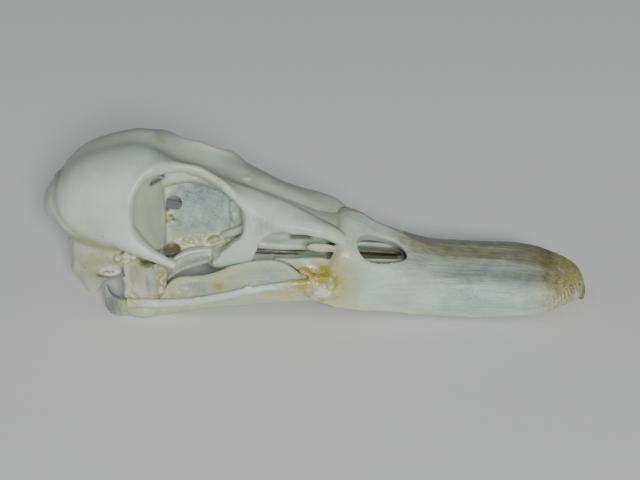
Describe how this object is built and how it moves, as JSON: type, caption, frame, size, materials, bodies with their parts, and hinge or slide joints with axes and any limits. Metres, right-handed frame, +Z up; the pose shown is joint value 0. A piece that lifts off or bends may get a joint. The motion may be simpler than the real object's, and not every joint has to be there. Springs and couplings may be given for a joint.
{
  "type": "duck skull",
  "caption": "Life-size duck skull with its lower jaw: domed braincase, open eye sockets, arched broad bill, standing on its jaw heels and bill tip.",
  "frame": {"origin": "on the floor, under the middle of the skull's bounding box", "axes": "+X to the tip of the bill, +Y to the animal's left, +Z up; the skull stands upright on its lower jaw"},
  "size_m": [0.1157, 0.0291, 0.0362],
  "materials": {
    "cranium_bone": "dry cleaned bone, satin, cool ivory with thin grey and yellow places",
    "bill_bone": "dry bone, satin, finely furrowed, tan and pitted towards the tip",
    "jaw_bone": "dry bone, satin, grey and yellow stains",
    "cheek_bone": "dry bone, satin",
    "joint_bone": "dry bone, satin, yellow at the joint faces",
    "palate_bone": "dry thin bone, satin"
  },
  "bodies": {
    "root": {"cranium": "cranium_bone", "upper_bill": "bill_bone", "mandible": "jaw_bone", "jugal_bar_right": "cheek_bone", "jugal_bar_left": "cheek_bone", "quadrate_right": "joint_bone", "quadrate_left": "joint_bone", "pterygoid_right": "palate_bone", "pterygoid_left": "palate_bone", "palatine_right": "palate_bone", "palatine_left": "palate_bone", "vomer": "palate_bone"}
  },
  "joints": []
}
